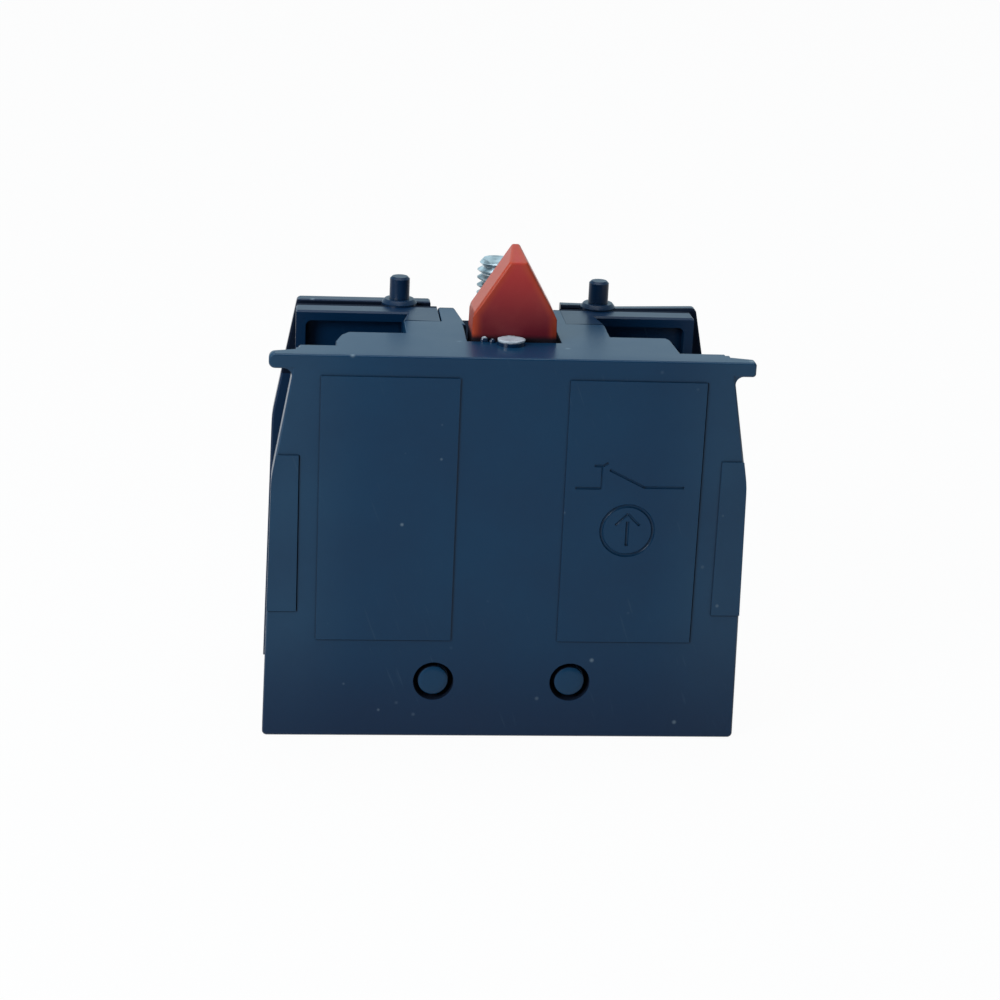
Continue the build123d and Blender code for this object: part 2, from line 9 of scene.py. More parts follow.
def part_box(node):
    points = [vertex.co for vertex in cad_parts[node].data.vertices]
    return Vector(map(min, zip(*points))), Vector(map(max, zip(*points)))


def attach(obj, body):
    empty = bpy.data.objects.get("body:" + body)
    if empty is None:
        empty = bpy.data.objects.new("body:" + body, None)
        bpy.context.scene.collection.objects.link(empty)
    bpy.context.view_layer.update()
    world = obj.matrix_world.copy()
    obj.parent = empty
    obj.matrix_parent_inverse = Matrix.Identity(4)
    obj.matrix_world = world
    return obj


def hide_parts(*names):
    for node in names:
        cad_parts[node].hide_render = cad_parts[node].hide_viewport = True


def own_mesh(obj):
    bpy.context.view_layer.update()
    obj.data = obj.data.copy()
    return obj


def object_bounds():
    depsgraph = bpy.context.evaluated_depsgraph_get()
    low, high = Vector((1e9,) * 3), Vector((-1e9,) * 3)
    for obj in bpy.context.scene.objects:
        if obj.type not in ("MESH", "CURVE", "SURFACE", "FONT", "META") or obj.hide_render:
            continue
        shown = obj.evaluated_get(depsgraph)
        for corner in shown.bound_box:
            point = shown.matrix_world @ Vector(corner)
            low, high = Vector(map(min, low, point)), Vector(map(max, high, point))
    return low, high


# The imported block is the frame: two dark mouldings, a red plunger and the metal parts
# of one normally closed contact. Everything below is placed from its boxes.
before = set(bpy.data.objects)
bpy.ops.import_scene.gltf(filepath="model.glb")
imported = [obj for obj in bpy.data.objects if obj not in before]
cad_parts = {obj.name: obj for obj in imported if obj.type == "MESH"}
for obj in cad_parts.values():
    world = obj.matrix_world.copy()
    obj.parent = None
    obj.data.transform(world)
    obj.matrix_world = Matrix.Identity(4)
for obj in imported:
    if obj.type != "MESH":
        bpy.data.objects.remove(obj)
cad_low, cad_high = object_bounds()
mm = 0.001

# Studio: a pale floor, a white surround and two soft lamps, so that the dark plastic
# reads by its own colour and by what its upper faces mirror from behind.
FLOOR_SIZE = 3.0
FLOOR_COLOUR = (0.60, 0.62, 0.64, 1)
FLOOR_WHITE = 0.96
WHITE = (1, 1, 1, 1)
SURROUND_COOL = (0.68, 0.89, 0.98, 1)
SURROUND_LIGHT = 0.35
ROOM_FRONT = -0.9
ROOM_BACK = 0.3
ROOM_DIM = 0.25
LAMP_COLOUR = (0.93, 0.97, 1.0)
scene = bpy.context.scene
scene.view_settings.view_transform = "Standard"


def add_node(tree, kind, **values):
    """A shader node with its properties set, and its named or numbered inputs filled or linked."""
    node = tree.nodes.new(kind)
    for key, value in values.items():
        if hasattr(node, key):
            setattr(node, key, value)
            continue
        number = key[2:] if key.startswith("in") else ""
        socket = node.inputs[int(number) if number.isdigit() else key.replace("_", " ")]
        if isinstance(value, bpy.types.NodeSocket):
            tree.links.new(value, socket)
        else:
            socket.default_value = value
    return node


def maths(tree, operation, *values):
    """The result of one Math node on numbers or on other nodes' results."""
    inputs = {f"in{number}": value for number, value in enumerate(values)}
    return add_node(tree, "ShaderNodeMath", operation=operation, **inputs).outputs[0]


def ramp(tree, value, start, end, low=0.0, high=1.0, shape="SMOOTHSTEP"):
    """Goes from low to high while a value goes from start to end."""
    node = add_node(tree, "ShaderNodeMapRange", interpolation_type=shape, Value=value,
                    From_Min=start, From_Max=end, To_Min=low, To_Max=high)
    return node.outputs[0]


def mix_colour(tree, share, first, second):
    """The first colour at share 0 and the second at 1; a Mix node has them as inputs 6 and 7."""
    mix = add_node(tree, "ShaderNodeMix", data_type="RGBA", in0=share, in6=first, in7=second)
    return mix.outputs[2]


def seen_white(tree):
    """1 for rays from the camera, from gloss and through glass, and 0 for other light."""
    path = add_node(tree, "ShaderNodeLightPath").outputs
    shown = maths(tree, "MAXIMUM", path["Is Camera Ray"], path["Is Glossy Ray"])
    return maths(tree, "MAXIMUM", shown, path["Is Transmission Ray"])


bpy.ops.object.select_all(action="DESELECT")
bpy.ops.mesh.primitive_plane_add(size=FLOOR_SIZE, location=(0, 0, cad_low.z))
floor = bpy.context.active_object
floor.name = "floor"
floor.data.materials.append(bpy.data.materials.new("pale_floor"))
floor.data.materials[0].use_nodes = True
tree = floor.data.materials[0].node_tree
tree.nodes.clear()
share = maths(tree, "MULTIPLY", seen_white(tree), FLOOR_WHITE)
matt = add_node(tree, "ShaderNodeBsdfDiffuse", Color=FLOOR_COLOUR)
white = add_node(tree, "ShaderNodeEmission", Strength=1.0)
blend = add_node(tree, "ShaderNodeMixShader", in0=share, in1=matt.outputs[0], in2=white.outputs[0])
add_node(tree, "ShaderNodeOutputMaterial", Surface=blend.outputs[0])

world = bpy.data.worlds.new("white_surround")
scene.world = world
world.use_nodes = True
tree = world.node_tree
tree.nodes.clear()
from_camera = add_node(tree, "ShaderNodeLightPath").outputs["Is Camera Ray"]
facing = add_node(tree, "ShaderNodeSeparateXYZ",
                  Vector=add_node(tree, "ShaderNodeTexCoord").outputs["Generated"])
shade = ramp(tree, facing.outputs["Y"], ROOM_FRONT, ROOM_BACK, ROOM_DIM, 1.0)
share = ramp(tree, seen_white(tree), 0.0, 1.0, SURROUND_LIGHT, 1.0, "LINEAR")
level = maths(tree, "MAXIMUM", maths(tree, "MULTIPLY", shade, share), from_camera)
sky = add_node(tree, "ShaderNodeBackground", Strength=level,
               Color=mix_colour(tree, from_camera, SURROUND_COOL, WHITE))
add_node(tree, "ShaderNodeOutputWorld", Surface=sky.outputs[0])

# Each lamp's power makes a white face at the block, turned to it, as bright as its level.
for name, place, size, level in (
    ("top_lamp", (-0.05, 0.05, 0.7), 0.6, 0.75),
    ("side_lamp", (-0.13, -0.12, 0.10), 0.08, 0.6),
):
    bpy.ops.object.light_add(type="AREA", location=place)
    lamp = bpy.context.active_object
    lamp.name = name
    lamp.data.size = size
    lamp.data.color = LAMP_COLOUR
    distance = Vector(place).length
    lamp.data.energy = level * math.pi * math.pi * distance * distance
    lamp.rotation_euler = (-Vector(place)).to_track_quat("-Z", "Y").to_euler()

# Camera: a little to the left and above, turned slightly about its own line of sight.
CAMERA_LEFT = math.radians(5.72)
CAMERA_UP = math.radians(18.54)
CAMERA_ROLL = math.radians(2.65)
CAMERA_AWAY = 151.0 * mm
CAMERA_LENS = 88.15
CAMERA_NEAR = 10 * mm
CAMERA_TARGET = Vector((-0.63 * mm, cad_low.y + 0.12 * mm, 15.91 * mm))
away = Vector((
    -math.sin(CAMERA_LEFT) * math.cos(CAMERA_UP),
    -math.cos(CAMERA_LEFT) * math.cos(CAMERA_UP),
    math.sin(CAMERA_UP),
))
bpy.ops.object.camera_add(location=CAMERA_TARGET + away * CAMERA_AWAY)
camera = bpy.context.active_object
camera.rotation_mode = "QUATERNION"
camera.rotation_quaternion = (-away).to_track_quat("-Z", "Y") @ Quaternion((0, 0, 1), CAMERA_ROLL)
camera.data.lens = CAMERA_LENS
camera.data.clip_start = CAMERA_NEAR
scene.camera = camera

# Face plate: one dark blue-black moulding with the roof, the top bar, two raised label
# pads and two raised grips. Satin plastic with a fine grain, a few scuffs and some dust.
PLAIN_FACE = cad_low.y + 0.12 * mm
roof_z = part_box("front_shell")[1].z
PLASTIC = (0.0004, 0.014, 0.047, 1)
PLASTIC_FILM = (0.0040, 0.036, 0.085, 1)
PLASTIC_HANDLED = (0.0150, 0.0520, 0.102, 1)
PLASTIC_WORN = (0.030, 0.062, 0.105, 1)
# Painted shade colour for corners, the plunger's opening, the roof's back groove and the pin gaps.
PAINTED_SHADE = (0.0008, 0.005, 0.016, 1)
# Dust colour, also used for the painted highlight on the peg ends.
DUST_AND_PEG_HIGHLIGHT = (0.13, 0.18, 0.23, 1)
PLASTIC_GLOSS = 0.18
PLASTIC_ROUGH = (0.27, 0.35)
CLOUD_SPAN = (0.2, 0.8)
# The film fades towards the base: painted shade that makes the plastic darker towards the bottom.
FILM_TOP = 9 * mm
BASE_SHADE_FILM = 0.25
FILM_THIN = 0.72
HANDLED_FROM = 8.5 * mm
HANDLED_FULL = 14 * mm
# Reach and span of the painted shade in corners.
CORNER_REACH = 0.35 * mm
CORNER_SHADE_SPAN = (0.3, 0.85)
EDGE_SOFT = 0.025 * mm
SMOOTH_ANGLE = math.radians(50)
FLAT_ANGLE = math.radians(0.4)
WELD = 0.002 * mm


def new_group(name, inputs, outputs):
    """An empty node group with float inputs and outputs, and its two end nodes."""
    group = bpy.data.node_groups.new(name, "ShaderNodeTree")
    for label, value in inputs.items():
        socket = group.interface.new_socket(label, in_out="INPUT", socket_type="NodeSocketFloat")
        socket.default_value = value
    for label in outputs:
        group.interface.new_socket(label, in_out="OUTPUT", socket_type="NodeSocketFloat")
    return group, group.nodes.new("NodeGroupInput").outputs, group.nodes.new("NodeGroupOutput").inputs


def make_dust_group():
    """Sparse round specks: one cell in a few holds a speck, with its own size."""
    group, given, made = new_group("dust_specks", {"Per metre": 900.0, "Share": 0.1, "Size": 0.1}, ["Mask"])
    point = add_node(group, "ShaderNodeTexCoord").outputs["Object"]
    cells = add_node(group, "ShaderNodeTexVoronoi", Vector=point, Scale=given["Per metre"]).outputs
    picked = add_node(group, "ShaderNodeSeparateColor", Color=cells["Color"]).outputs
    lucky = maths(group, "LESS_THAN", picked[0], given["Share"])
    reach = maths(group, "MULTIPLY", given["Size"], picked[1])
    speck = ramp(group, cells["Distance"], reach, 0.0)
    group.links.new(maths(group, "MULTIPLY", lucky, speck), made["Mask"])
    return group


def make_mottle_group():
    """Slow cloudy change over a moulding, and the fine grain of its tool."""
    group, given, made = new_group("mould_mottle", {"Clouds": 160.0, "Grain": 9000.0}, ["Clouds", "Grain"])
    point = add_node(group, "ShaderNodeTexCoord").outputs["Object"]
    for label, detail, rough in (("Clouds", 4.0, 0.55), ("Grain", 2.0, 0.6)):
        noise = add_node(group, "ShaderNodeTexNoise", Vector=point, Scale=given[label],
                         Detail=detail, Roughness=rough)
        group.links.new(noise.outputs["Fac"], made[label])
    return group


def make_scratch_group():
    """Fine short scratches: long thin noise, kept only in scattered patches."""
    inputs = {"Across": 5200.0, "Along": 420.0, "Amount": 0.5}
    group, given, made = new_group("fine_scratches", inputs, ["Mask"])
    point = add_node(group, "ShaderNodeTexCoord").outputs["Object"]
    stretch = add_node(group, "ShaderNodeCombineXYZ",
                       X=given["Across"], Y=given["Across"], Z=given["Along"])
    tilt = add_node(group, "ShaderNodeMapping", Vector=point, Rotation=(0.0, 0.35, 0.0))
    drawn = add_node(group, "ShaderNodeVectorMath", operation="MULTIPLY",
                     in0=tilt.outputs[0], in1=stretch.outputs[0])
    lines = add_node(group, "ShaderNodeTexNoise", Vector=drawn.outputs[0], Scale=1.0, Detail=1.0)
    patch = add_node(group, "ShaderNodeTexNoise", Vector=point, Scale=230.0, Detail=2.0)
    thin = ramp(group, lines.outputs["Fac"], 0.66, 0.74, shape="LINEAR")
    near = ramp(group, patch.outputs["Fac"], 0.52, 0.64, shape="LINEAR")
    mask = maths(group, "MULTIPLY", maths(group, "MULTIPLY", thin, near), given["Amount"])
    group.links.new(mask, made["Mask"])
    return group


dust_group = make_dust_group()
mottle_group = make_mottle_group()
scratch_group = make_scratch_group()


def place_group(tree, group, **values):
    """The outputs of a shared group in a material, with that material's own values."""
    node = tree.nodes.new("ShaderNodeGroup")
    node.node_tree = group
    for label, value in values.items():
        node.inputs[label.replace("_", " ")].default_value = value
    return node.outputs


def new_material(name):
    """A node material, its tree and its Principled shader."""
    material = bpy.data.materials.new(name)
    material.use_nodes = True
    return material, material.node_tree, material.node_tree.nodes["Principled BSDF"]


def point_on(tree):
    """X, Y and Z of the point on the piece."""
    point = add_node(tree, "ShaderNodeTexCoord").outputs["Object"]
    return add_node(tree, "ShaderNodeSeparateXYZ", Vector=point).outputs


def both(tree, first, second):
    """Where two masks overlap."""
    return maths(tree, "MULTIPLY", first, second)


def between(tree, value, low, high):
    """1 where a value lies between two limits and 0 elsewhere."""
    return both(tree, maths(tree, "GREATER_THAN", value, low), maths(tree, "LESS_THAN", value, high))


def add_grain(tree, skin, grain, strength, depth):
    """The tool's fine grain, pressed into the surface."""
    bump = add_node(tree, "ShaderNodeBump", Strength=strength, Distance=depth, Height=grain)
    tree.links.new(bump.outputs[0], skin.inputs["Normal"])


# Painted shade darkens the plunger's opening, the groove along the roof's back and the gaps round the two
# assembly pins. The pegs' ends get a painted highlight.
WELL_HALF = 3.4 * mm
WELL_FRONT = cad_low.y + 2.2 * mm
WELL_Z = (10 * mm, roof_z - 0.06 * mm)
GROOVE_Y = (cad_low.y + 12.2 * mm, cad_low.y + 13.85 * mm)
GROOVE_Z = (20 * mm, roof_z + 0.005 * mm)
PIN_X = 4.33 * mm
PIN_Z = 3.78 * mm
PIN_R = 0.95 * mm
PIN_GAP_R = 1.35 * mm
PIN_GAP_Y = (cad_low.y + 0.15 * mm, cad_low.y + 3 * mm)
# Height and strength of the painted highlight on the peg ends.
PEG_END_Z = (roof_z + 1.84 * mm, roof_z + 1.9 * mm)
PEG_END_HIGHLIGHT = 0.8


def pin_masks(tree, place, aside):
    """The ends of the two assembly pins, and the gap round each."""
    beside = maths(tree, "SUBTRACT", aside, PIN_X)
    above = maths(tree, "SUBTRACT", place["Z"], PIN_Z)
    out = add_node(tree, "ShaderNodeCombineXYZ", X=beside, Y=above).outputs[0]
    reach = add_node(tree, "ShaderNodeVectorMath", operation="LENGTH", in0=out).outputs["Value"]
    inside = between(tree, place["Y"], *PIN_GAP_Y)
    end = both(tree, maths(tree, "LESS_THAN", reach, PIN_R), inside)
    gap = both(tree, between(tree, reach, PIN_R, PIN_GAP_R), inside)
    return end, gap


def make_housing_plastic(name, film, handled, dusty):
    """Dark satin plastic: a pale film darkened towards the base by painted shade, specks, painted shade in
    corners and gaps, and a painted highlight on the peg ends.
    """
    material, tree, skin = new_material(name)
    mottle = place_group(tree, mottle_group)
    scratch = place_group(tree, scratch_group, Amount=0.3)
    dust = place_group(tree, dust_group, Share=dusty, Size=0.3)
    place = point_on(tree)
    aside = maths(tree, "ABSOLUTE", place["X"])
    # Painted shade: the film fades towards the base, so the plastic darkens towards the bottom.
    shade_climb = ramp(tree, place["Z"], cad_low.z, cad_low.z + FILM_TOP, BASE_SHADE_FILM, 1.0)
    cloud = ramp(tree, mottle["Clouds"], *CLOUD_SPAN, FILM_THIN, 1.0)
    held = ramp(tree, aside, HANDLED_FROM, HANDLED_FULL, 0.0, handled)
    film = mix_colour(tree, held, film, PLASTIC_HANDLED)
    colour = mix_colour(tree, maths(tree, "MULTIPLY", shade_climb, cloud), PLASTIC, film)
    colour = mix_colour(tree, scratch["Mask"], colour, PLASTIC_WORN)
    colour = mix_colour(tree, dust["Mask"], colour, DUST_AND_PEG_HIGHLIGHT)
    # Painted shade in corners and creases, found by an occlusion node.
    corners = add_node(tree, "ShaderNodeAmbientOcclusion", only_local=True, samples=16,
                       Distance=CORNER_REACH)
    unshaded = ramp(tree, corners.outputs["AO"], *CORNER_SHADE_SPAN, shape="LINEAR")
    colour = mix_colour(tree, unshaded, PAINTED_SHADE, colour)
    pin_end, pin_gap = pin_masks(tree, place, aside)
    colour = mix_colour(tree, pin_end, colour, PLASTIC_FILM)
    # Painted highlight: the pegs' flat ends are painted pale, as though lit.
    colour = mix_colour(tree, ramp(tree, place["Z"], *PEG_END_Z, 0.0, PEG_END_HIGHLIGHT), colour, DUST_AND_PEG_HIGHLIGHT)
    # Painted shade inside the plunger's opening, in the roof's back groove and in the gaps round the pins.
    well = both(tree, maths(tree, "LESS_THAN", aside, WELL_HALF), between(tree, place["Z"], *WELL_Z))
    well = both(tree, well, between(tree, place["Y"], WELL_FRONT, cad_high.y))
    groove = both(tree, between(tree, place["Z"], *GROOVE_Z), between(tree, place["Y"], *GROOVE_Y))
    shaded = 0.0
    for mask in (well, groove, pin_gap):
        colour = mix_colour(tree, mask, colour, PAINTED_SHADE)
        shaded = maths(tree, "MAXIMUM", shaded, mask)
    tree.links.new(colour, skin.inputs["Base Color"])
    rough = ramp(tree, mottle["Clouds"], *CLOUD_SPAN, *PLASTIC_ROUGH)
    tree.links.new(maths(tree, "MAXIMUM", rough, shaded), skin.inputs["Roughness"])
    skin.inputs["Specular IOR Level"].default_value = PLASTIC_GLOSS
    add_grain(tree, skin, mottle["Grain"], 0.12, 0.02 * mm)
    return material


def take_up(piece):
    """Selects one piece alone and makes it the active one."""
    bpy.ops.object.select_all(action="DESELECT")
    piece.select_set(True)
    bpy.context.view_layer.objects.active = piece


def merged_copy(node, name):
    """A copy of a CAD node whose loose triangles are joined into whole flat faces."""
    piece = bpy.data.objects.new(name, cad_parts[node].data.copy())
    scene.collection.objects.link(piece)
    piece.data.materials.clear()
    take_up(piece)
    if piece.data.has_custom_normals:
        bpy.ops.mesh.customdata_custom_splitnormals_clear()
    bpy.ops.object.mode_set(mode="EDIT")
    bpy.ops.mesh.select_all(action="SELECT")
    bpy.ops.mesh.remove_doubles(threshold=WELD)
    bpy.ops.mesh.dissolve_limited(angle_limit=FLAT_ANGLE)
    bpy.ops.object.mode_set(mode="OBJECT")
    return piece


def soften(piece, width):
    """Rounds the square edges of the active piece a little."""
    bevel = piece.modifiers.new("soft_edges", "BEVEL")
    bevel.width = width
    bevel.segments = 2
    bevel.limit_method = "ANGLE"
    bevel.angle_limit = SMOOTH_ANGLE
    bpy.ops.object.modifier_apply(modifier=bevel.name)


def smooth(piece, angle=SMOOTH_ANGLE):
    """Smooths the active piece's curves and chamfers and keeps its large faces flat."""
    bpy.ops.object.shade_smooth_by_angle(angle=angle)
    weighted = piece.modifiers.new("flat_faces", "WEIGHTED_NORMAL")
    weighted.keep_sharp = True
    weighted.weight = 100
    bpy.ops.object.modifier_apply(modifier=weighted.name)


# The top bar's ends are thinner than its middle, and nothing under them stands proud.
BAR_END_X = 13.35 * mm
BAR_END_DEEP = 1.1 * mm
BAR_END_LOW = 23.46 * mm
BAR_END_THINNER = 0.4 * mm
UNDER_BAR_X = 13.2 * mm
UNDER_BAR_Z = (22 * mm, 24 * mm)
housing_plastic = make_housing_plastic("housing_plastic", PLASTIC_FILM, 0.9, 0.1)
face_plate = merged_copy("front_shell", "face_plate")
for vertex in face_plate.data.vertices:
    overhang = abs(vertex.co.x) > BAR_END_X and vertex.co.z > BAR_END_LOW
    if overhang and vertex.co.y > cad_low.y + BAR_END_DEEP:
        vertex.co.y -= BAR_END_THINNER
soften(face_plate, EDGE_SOFT)
for vertex in face_plate.data.vertices:
    under_bar = abs(vertex.co.x) > UNDER_BAR_X and UNDER_BAR_Z[0] < vertex.co.z < UNDER_BAR_Z[1]
    if under_bar and vertex.co.y < PLAIN_FACE:
        vertex.co.y = PLAIN_FACE

# The right label pad carries two engraved signs that such blocks share: the break
# contact, and an arrow in a ring that shows which way the plunger points.
PAD_FACE = cad_low.y
LINE_R = 0.085 * mm
FAINT_LINE_R = 0.05 * mm
SHAFT_R = 0.11 * mm
RING_LINE_R = 0.12 * mm
RING_R = 1.62 * mm
SIGN_X = 7.38 * mm
RING_Z = 14.05 * mm
CONTACT_Z = 16.7 * mm
BREAK_STROKES = (
    ((-3.38, 0.1), (-1.78, 0.1), LINE_R),
    ((-1.78, 0.1), (-1.78, 1.5), FAINT_LINE_R),
    ((0.9, 0.2), (3.4, 0.2), LINE_R),
    ((-1.3, 1.3), (0.9, 0.2), LINE_R),
    ((-2.27, 1.55), (-1.72, 1.55), LINE_R),
    ((-1.72, 1.55), (-1.42, 1.75), LINE_R),
)
ARROW_STROKES = (
    ((-0.75, 0.35), (0, 1.1), LINE_R),
    ((0, 1.1), (0.75, 0.35), LINE_R),
    ((0, -1.0), (0, 0.6), SHAFT_R),
)


def add_stroke(start, end, radius, face):
    """Round cutter along one engraved line; start and end are X and Z."""
    middle = Vector(((start[0] + end[0]) / 2, face, (start[1] + end[1]) / 2))
    along = Vector((end[0] - start[0], 0, end[1] - start[1]))
    bpy.ops.mesh.primitive_cylinder_add(vertices=12, radius=radius, depth=along.length, location=middle)
    bpy.context.active_object.rotation_euler = along.to_track_quat("Z", "Y").to_euler()
    return bpy.context.active_object


bpy.ops.object.select_all(action="DESELECT")
cutters = []
for strokes, sign_z in ((BREAK_STROKES, CONTACT_Z), (ARROW_STROKES, RING_Z)):
    for (x1, z1), (x2, z2), radius in strokes:
        start = (SIGN_X + x1 * mm, sign_z + z1 * mm)
        end = (SIGN_X + x2 * mm, sign_z + z2 * mm)
        cutters.append(add_stroke(start, end, radius, PAD_FACE))

# Witness lines along the pads' lower and outer edges, where the mould's inserts meet.
LABEL_PAD_IN = 3.36 * mm
LABEL_PAD_OUT = 11.8 * mm
LABEL_PAD_LOW = 6.59 * mm
LABEL_PAD_HIGH = 23.65 * mm
GRIP_PAD_IN = 13.05 * mm
GRIP_PAD_OUT = 14.8 * mm
GRIP_PAD_LOW = 8.45 * mm
GRIP_PAD_HIGH = 18.6 * mm
WITNESS_R = 0.065 * mm
CUT_WELD = 0.0005 * mm
for start, end in (
    ((-LABEL_PAD_OUT, LABEL_PAD_LOW), (-LABEL_PAD_IN, LABEL_PAD_LOW)),
    ((LABEL_PAD_IN, LABEL_PAD_LOW), (LABEL_PAD_OUT, LABEL_PAD_LOW)),
    ((LABEL_PAD_OUT, LABEL_PAD_LOW), (LABEL_PAD_OUT, LABEL_PAD_HIGH)),
    ((-GRIP_PAD_OUT, GRIP_PAD_LOW), (-GRIP_PAD_IN, GRIP_PAD_LOW)),
    ((GRIP_PAD_IN, GRIP_PAD_LOW), (GRIP_PAD_OUT, GRIP_PAD_LOW)),
    ((-GRIP_PAD_IN, GRIP_PAD_LOW), (-GRIP_PAD_IN, GRIP_PAD_HIGH)),
):
    cutters.append(add_stroke(start, end, WITNESS_R, PLAIN_FACE))
bpy.ops.mesh.primitive_torus_add(
    major_radius=RING_R, minor_radius=RING_LINE_R, major_segments=72, minor_segments=10,
    location=(SIGN_X, PAD_FACE, RING_Z), rotation=(math.pi / 2, 0, 0),
)
cutters.append(bpy.context.active_object)
take_up(cutters[0])
for cutter in cutters:
    cutter.select_set(True)
bpy.ops.object.join()
sign_cutter = bpy.context.active_object
take_up(face_plate)
engraving = face_plate.modifiers.new("engraving", "BOOLEAN")
engraving.object = sign_cutter
engraving.operation = "DIFFERENCE"
engraving.solver = "EXACT"
engraving.use_self = True
bpy.ops.object.modifier_apply(modifier=engraving.name)
bpy.data.objects.remove(sign_cutter)
bpy.ops.object.mode_set(mode="EDIT")
bpy.ops.mesh.select_all(action="SELECT")
bpy.ops.mesh.remove_doubles(threshold=CUT_WELD)
bpy.ops.mesh.select_all(action="SELECT")
bpy.ops.mesh.fill_holes(sides=0)
bpy.ops.object.mode_set(mode="OBJECT")
smooth(face_plate)
face_plate.data.materials.clear()
face_plate.data.materials.append(housing_plastic)
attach(face_plate, "housing")
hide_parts("front_shell")

# Rear moulding: base, centre block, rear wall and plate with the two locating pegs, in
# the same plastic with less film on it.
REAR_FILM = (0.0020, 0.019, 0.054, 1)
REAR_SMOOTH_ANGLE = math.radians(35)
rear_moulding = merged_copy("rear_shell", "rear_moulding")

# The assembly pins are cut back here and get clean heads of their own below.
PIN_REACH = 1.1 * mm
PIN_DEEP = PLAIN_FACE + 0.6 * mm
for vertex in rear_moulding.data.vertices:
    out = Vector((abs(vertex.co.x) - PIN_X, vertex.co.z - PIN_Z))
    if vertex.co.y < PIN_DEEP and out.length < PIN_REACH:
        vertex.co.y = PIN_DEEP

# Each peg stands on a low round foot, a little lower than the CAD one, as is its top.
PEG_X = 6.53 * mm
PEG_Y = PLAIN_FACE + 13.0 * mm
FOOT_REACH = 1.25 * mm
FOOT_CAD_Z = (roof_z + 0.2 * mm, roof_z + 0.7 * mm)
FOOT_TOP = roof_z + 0.36 * mm
PEG_UPPER_Z = roof_z + 1.5 * mm
PEG_LOWERED = 0.06 * mm
for vertex in rear_moulding.data.vertices:
    out = Vector((abs(vertex.co.x) - PEG_X, vertex.co.y - PEG_Y))
    if out.length < FOOT_REACH and FOOT_CAD_Z[0] < vertex.co.z < FOOT_CAD_Z[1]:
        vertex.co.z = FOOT_TOP
    elif out.length < FOOT_REACH and vertex.co.z > PEG_UPPER_Z:
        vertex.co.z -= PEG_LOWERED

# The plate's edges beside the roof's tongue: the joint is closed in front of them and on
# the right, and stays open on the left.
TONGUE_X = 4.12 * mm
TONGUE_LOW = 23 * mm
TONGUE_FRONT_Y = PLAIN_FACE + 9 * mm
TONGUE_BACK_Y = PLAIN_FACE + 12.7 * mm
JOINT_CLOSED = 0.16 * mm
SAME_PLACE = 0.02 * mm
for vertex in rear_moulding.data.vertices:
    beside_tongue = abs(abs(vertex.co.x) - TONGUE_X) < SAME_PLACE and vertex.co.z > TONGUE_LOW
    if not beside_tongue or vertex.co.y > TONGUE_BACK_Y:
        continue
    if vertex.co.y < TONGUE_FRONT_Y:
        vertex.co.y -= JOINT_CLOSED
    if vertex.co.x > 0:
        vertex.co.x -= JOINT_CLOSED

# The lip along the plate's back edge dips on the right and stands a little up on the left.
LIP_Y = PLAIN_FACE + 13.35 * mm
LIP_FACES_Z = roof_z - 0.4 * mm
LIP_Z = (roof_z - 0.35 * mm, roof_z + 0.01 * mm)
LIP_DIP_X = 7.75 * mm
LIP_END_X = 13.2 * mm
LIP_DIP = 0.19 * mm
LIP_DIP_AT_END = 0.05 * mm
LIP_UP = 0.07 * mm


def pick_faces(piece, wanted):
    """Selects the faces that a test wants, on a piece in edit mode."""
    form = bmesh.from_edit_mesh(piece.data)
    for face in form.faces:
        face.select = wanted(face)
    form.select_flush(True)
    bmesh.update_edit_mesh(piece.data)


def on_right_lip(face):
    """Whether a face belongs to the right half of the lip."""
    middle = face.calc_center_median()
    return middle.y > LIP_Y and middle.z > LIP_FACES_Z and middle.x > 0


bpy.ops.object.mode_set(mode="EDIT")
pick_faces(rear_moulding, on_right_lip)
bpy.ops.mesh.bisect(plane_co=(LIP_DIP_X, 0, 0), plane_no=(1, 0, 0))
bpy.ops.object.mode_set(mode="OBJECT")
for vertex in rear_moulding.data.vertices:
    lip = vertex.co.y > LIP_Y - SAME_PLACE and LIP_Z[0] < vertex.co.z < LIP_Z[1]
    if lip and vertex.co.x > LIP_DIP_X - SAME_PLACE / 2:
        along = (vertex.co.x - LIP_DIP_X) / (LIP_END_X - LIP_DIP_X)
        vertex.co.z -= LIP_DIP + (LIP_DIP_AT_END - LIP_DIP) * along
    elif lip and vertex.co.x < 0:
        vertex.co.z += LIP_UP
soften(rear_moulding, EDGE_SOFT)
smooth(rear_moulding, REAR_SMOOTH_ANGLE)
rear_plastic = make_housing_plastic("rear_plastic", REAR_FILM, 0.0, 0.08)
rear_moulding.data.materials.append(rear_plastic)
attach(rear_moulding, "housing")
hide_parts("rear_shell")

# Pin heads: the front ends of the rear moulding's two assembly pins, which show in the
# face plate's holes as low domes.
PIN_FRONT = PLAIN_FACE + 0.14 * mm
PIN_HEAD_R = PIN_R - 0.01 * mm
PIN_HEAD_SHIFT = (-0.03 * mm, 0.02 * mm)
PIN_DOME = ((0.1 * mm, 0.06 * mm), (0.2 * mm, 0.03 * mm), (0.3 * mm, 0.01 * mm))
for side, pin_x in (("left", -PIN_X), ("right", PIN_X)):
    middle = (pin_x + PIN_HEAD_SHIFT[0], (PIN_DEEP + PIN_FRONT) / 2, PIN_Z + PIN_HEAD_SHIFT[1])
    bpy.ops.object.select_all(action="DESELECT")
    bpy.ops.mesh.primitive_cylinder_add(vertices=64, radius=PIN_HEAD_R, depth=PIN_DEEP - PIN_FRONT,
                                        location=middle, rotation=(math.pi / 2, 0, 0))
    pin = bpy.context.active_object
    pin.name = "pin_head_" + side
    bpy.ops.object.transform_apply(location=True, rotation=True, scale=True)
    bpy.ops.object.mode_set(mode="EDIT")
    pick_faces(pin, lambda face: face.normal.y < -0.9)
    for inset, rise in PIN_DOME:
        bpy.ops.mesh.inset(thickness=inset, depth=rise)
    bpy.ops.object.mode_set(mode="OBJECT")
    bpy.ops.object.shade_smooth_by_angle(angle=SMOOTH_ANGLE)
    pin.data.materials.append(rear_plastic)
    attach(pin, "housing")
